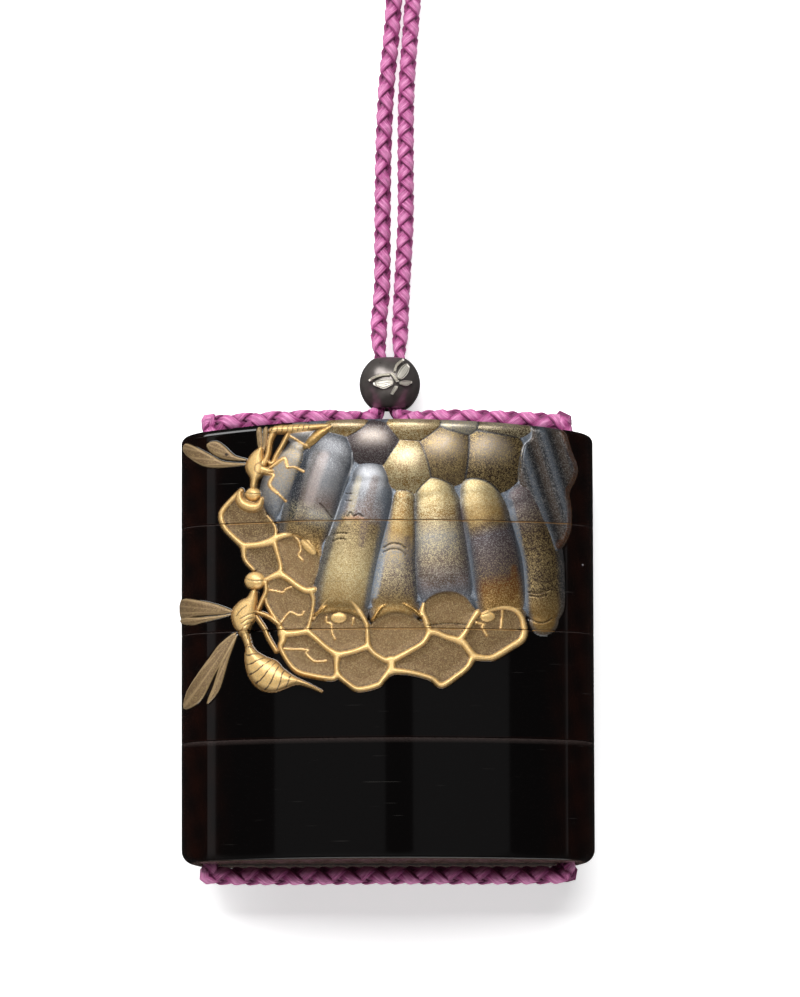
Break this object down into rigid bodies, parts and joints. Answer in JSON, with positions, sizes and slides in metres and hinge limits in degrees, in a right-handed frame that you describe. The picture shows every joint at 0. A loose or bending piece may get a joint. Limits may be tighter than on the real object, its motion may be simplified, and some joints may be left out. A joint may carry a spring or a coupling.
{
  "type": "inro case",
  "caption": "Lacquered wooden case of stacked, nesting compartments with a domed lid, raised nest and wasp relief, strung on a silk cord with a round metal sliding bead.",
  "frame": {"origin": "under the middle of the case, on the surface that the case lies on with its back down", "axes": "+Z out of the decorated front, +Y along the case towards its lid and cord, X across the case"},
  "size_m": [0.075, 0.1879, 0.0241],
  "materials": {
    "lacquer": "polished black lacquer over thin wood, with gold and silver dusted relief",
    "dark_metal": "dark patinated copper alloy, satin",
    "silver": "soft worn silver",
    "silk": "braided magenta silk"
  },
  "bodies": {
    "root": {"lid": "lacquer", "upper_case": "lacquer", "middle_case": "lacquer", "lower_case": "lacquer", "ojime_bead": "dark_metal", "ojime_butterfly": "silver", "cord_through_case": "silk", "cord_strand_left": "silk", "cord_strand_right": "silk", "cord_coil": "silk", "cord_knot": "silk"}
  },
  "joints": []
}
